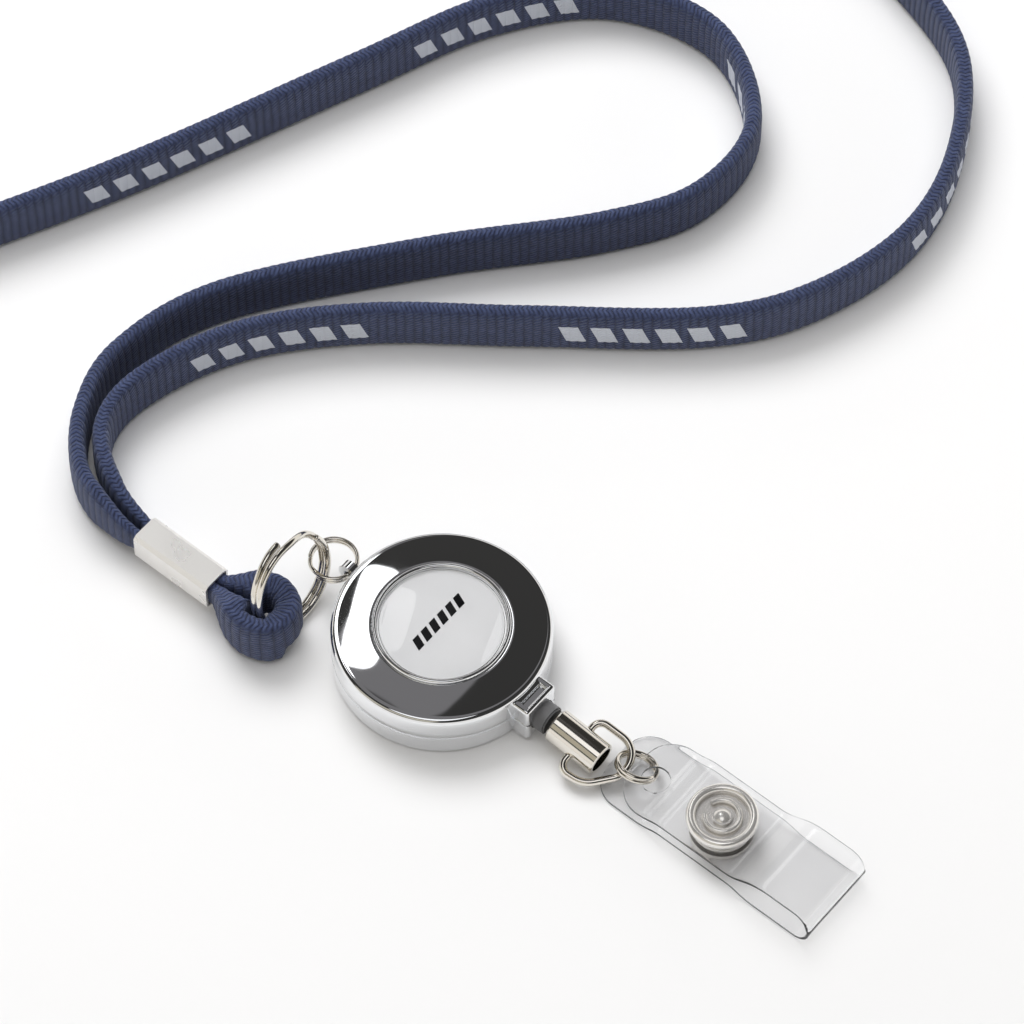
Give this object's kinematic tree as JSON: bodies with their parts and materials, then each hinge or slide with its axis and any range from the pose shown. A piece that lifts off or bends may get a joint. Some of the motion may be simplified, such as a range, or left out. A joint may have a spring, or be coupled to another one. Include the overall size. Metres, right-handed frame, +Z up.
{
  "type": "retractable badge reel",
  "caption": "Round chrome retractable badge reel on a knitted neck lanyard, with spring spool, pull cord, swivel barrel, D ring and clear snap strap.",
  "frame": {"origin": "centre of the round case's flat back face", "axes": "+X the way the cord pulls out, +Z up out of the label, so the reel lies on its back on z = 0"},
  "size_m": [0.2261, 0.1667, 0.0159],
  "materials": {
    "chrome_case": "mirror chrome plating",
    "chrome_ring": "bright chrome plating",
    "label_print": "pale printed label",
    "clear_resin": "clear domed resin",
    "steel": "turned steel",
    "spring_steel": "blued spring strip",
    "nylon": "natural nylon",
    "spool_plastic": "black moulded plastic",
    "cord": "braided nylon cord",
    "rubber": "dark grey rubber",
    "nickel": "bright nickel plating",
    "clear_vinyl": "clear flexible vinyl",
    "snap_metal": "pressed nickel-plated brass",
    "navy_knit": "navy flat tubular knit"
  },
  "bodies": {
    "case": {"back_cover": "chrome_case", "front_cover": "chrome_case", "label_bezel": "chrome_ring", "label_disc": "label_print", "label_dome": "clear_resin", "centre_post": "steel", "spool_washer": "nylon", "power_spring": "spring_steel", "cord_lead": "cord", "outlet_bush": "nylon", "ring_lug": "chrome_ring"},
    "spool": {"spool": "spool_plastic", "spring_cover": "nylon", "cord_winding": "cord"},
    "pull_end": {"bumper": "rubber", "cord_knot": "cord"},
    "barrel": {"barrel": "nickel"},
    "d_ring": {"d_ring": "nickel"},
    "strap_ring": {"strap_ring": "nickel"},
    "strap": {"strap_upper": "clear_vinyl", "snap_cap": "snap_metal", "snap_spring": "snap_metal", "snap_socket": "snap_metal"},
    "strap_flap": {"strap_lower": "clear_vinyl", "snap_stud": "snap_metal", "snap_back": "snap_metal"},
    "lug_ring": {"lug_ring": "nickel"},
    "key_ring": {"key_ring": "nickel"},
    "lanyard": {"lanyard_loop": "navy_knit", "crimp": "nickel", "lanyard_ribbon": "navy_knit"}
  },
  "joints": [
    {"name": "cord_pull", "type": "slide", "parent": "case", "child": "pull_end", "axis": [1, 0, 0], "range_m": [0, 0.6], "stiffness_N_per_m": 3, "springref_m": -0.25, "deforming": ["cord_lead"]},
    {"name": "spool_spin", "type": "hinge", "parent": "case", "child": "spool", "pos_m": [0, 0, 0.0038], "axis": [0, 0, 1], "range_deg": [0, 2800], "deforming": ["power_spring"]},
    {"name": "barrel_swivel", "type": "hinge", "parent": "pull_end", "child": "barrel", "pos_m": [0.02147, 0, 0.0038], "axis": [0.9936, 0, -0.1132], "continuous": true},
    {"name": "d_ring_swing", "type": "hinge", "parent": "barrel", "child": "d_ring", "pos_m": [0.02624, 0, 0.00326], "axis": [0.0235, 0.9781, 0.2066], "range_deg": [-50, 50]},
    {"name": "strap_ring_swing", "type": "hinge", "parent": "d_ring", "child": "strap_ring", "pos_m": [0.03399, 0.00233, 0.00248], "axis": [0.0235, 0.9781, 0.2066], "range_deg": [-8, 4]},
    {"name": "strap_swing", "type": "hinge", "parent": "strap_ring", "child": "strap", "pos_m": [0.03822, 0.0024, 0.0028], "axis": [0, 0, 1], "range_deg": [-6, 6]},
    {"name": "strap_open", "type": "hinge", "parent": "strap", "child": "strap_flap", "pos_m": [0.07159, 0.003, 0.0034], "axis": [0, -1, 0], "range_deg": [0, 120]},
    {"name": "lug_ring_swing", "type": "hinge", "parent": "case", "child": "lug_ring", "pos_m": [-0.0176, 0, 0.0054], "axis": [0, 1, 0], "range_deg": [-30, 30]},
    {"name": "key_ring_swing", "type": "hinge", "parent": "lug_ring", "child": "key_ring", "pos_m": [-0.02185, -0.0011, 0.0054], "axis": [0, 0, 1], "range_deg": [-25, 12]},
    {"name": "lanyard_swing", "type": "hinge", "parent": "key_ring", "child": "lanyard", "pos_m": [-0.0223, -0.0154, 0.0048], "axis": [0, 0, 1], "range_deg": [-12, 12]}
  ],
  "couplings": [
    {"joint": "spool_spin", "follows": "cord_pull", "rad_per_m": 80.321}
  ]
}
